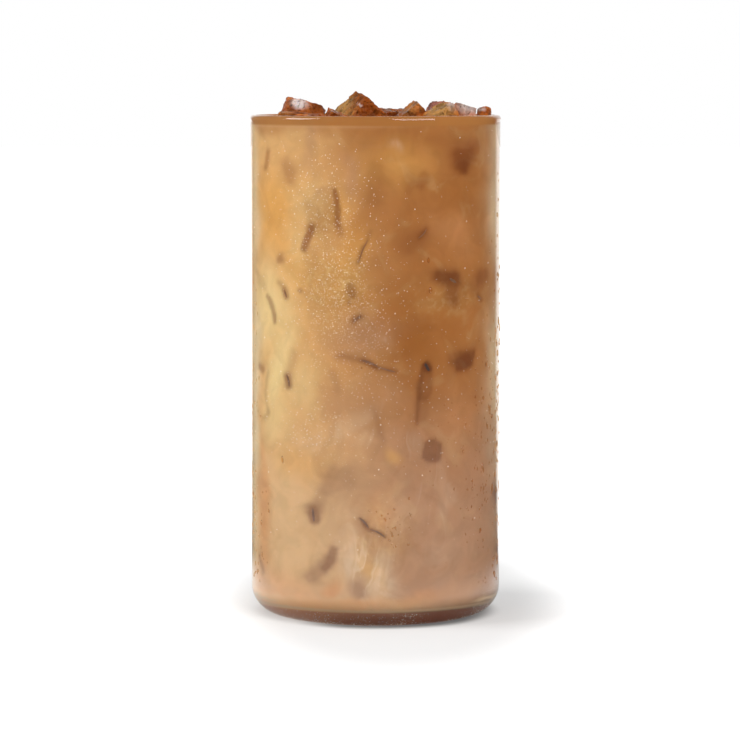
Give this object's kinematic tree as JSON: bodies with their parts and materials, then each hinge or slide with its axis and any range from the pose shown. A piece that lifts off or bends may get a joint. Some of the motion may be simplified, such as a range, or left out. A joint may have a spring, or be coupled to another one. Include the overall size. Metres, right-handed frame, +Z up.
{
  "type": "iced cold brew coffee with milk in a glass",
  "caption": "Tall straight-sided tumbler filled to the brim with milky iced coffee, with broken ice standing out above the rim.",
  "frame": {"origin": "middle of the surface that the glass stands on", "axes": "+Z up along the glass's axis, +Y to the back of the view it is shown from, +X to the right"},
  "size_m": [0.0726, 0.0726, 0.1509],
  "materials": {
    "glass": "clear soda-lime glass, fire-polished, beaded with condensation",
    "coffee": "opaque milky coffee, clouded with milk, wet surface",
    "ice": "clear broken ice, wet with coffee"
  },
  "bodies": {
    "root": {"glass": "glass", "coffee": "coffee", "ice_peak": "ice", "ice_left": "ice", "ice_left_front": "ice", "ice_front_left": "ice", "ice_front": "ice", "ice_front_right": "ice", "ice_right_peak": "ice", "ice_right": "ice", "ice_right_end": "ice", "ice_right_back": "ice", "ice_right_wall": "ice", "ice_ridge": "ice", "ice_back_right": "ice", "ice_back": "ice", "ice_back_left": "ice", "ice_middle_left": "ice", "ice_left_back": "ice"}
  },
  "joints": []
}
